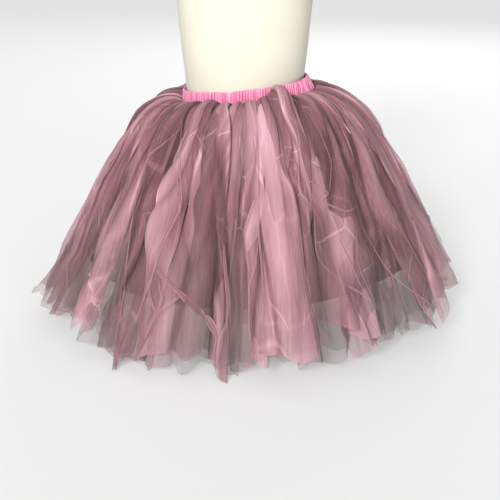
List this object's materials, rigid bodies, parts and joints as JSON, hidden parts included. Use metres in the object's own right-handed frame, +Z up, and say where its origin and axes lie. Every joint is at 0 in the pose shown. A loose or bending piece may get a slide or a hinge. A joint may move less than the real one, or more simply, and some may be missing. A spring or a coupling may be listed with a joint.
{
  "type": "tulle skirt on a dress form",
  "caption": "Full gathered tulle skirt in nested net layers over an opaque lining, on a satin waist casing, standing on a smooth limbless dress form.",
  "frame": {"origin": "centre of the dress form's flat base, on the surface that it stands on", "axes": "+Z up, the skirt's front faces -Y, the wearer's left side is +X"},
  "size_m": [0.6742, 0.5786, 0.712],
  "materials": {
    "form": "smooth glossy ivory plastic",
    "satin": "bright pink satin, gathered",
    "tulle": "sheer dusty pink tulle",
    "lining": "plain dusty rose woven lining"
  },
  "bodies": {
    "root": {"dress_form": "form", "waist_casing": "satin", "tulle_outer": "tulle", "tulle_middle": "tulle", "tulle_inner": "tulle", "lining": "lining"}
  },
  "joints": []
}
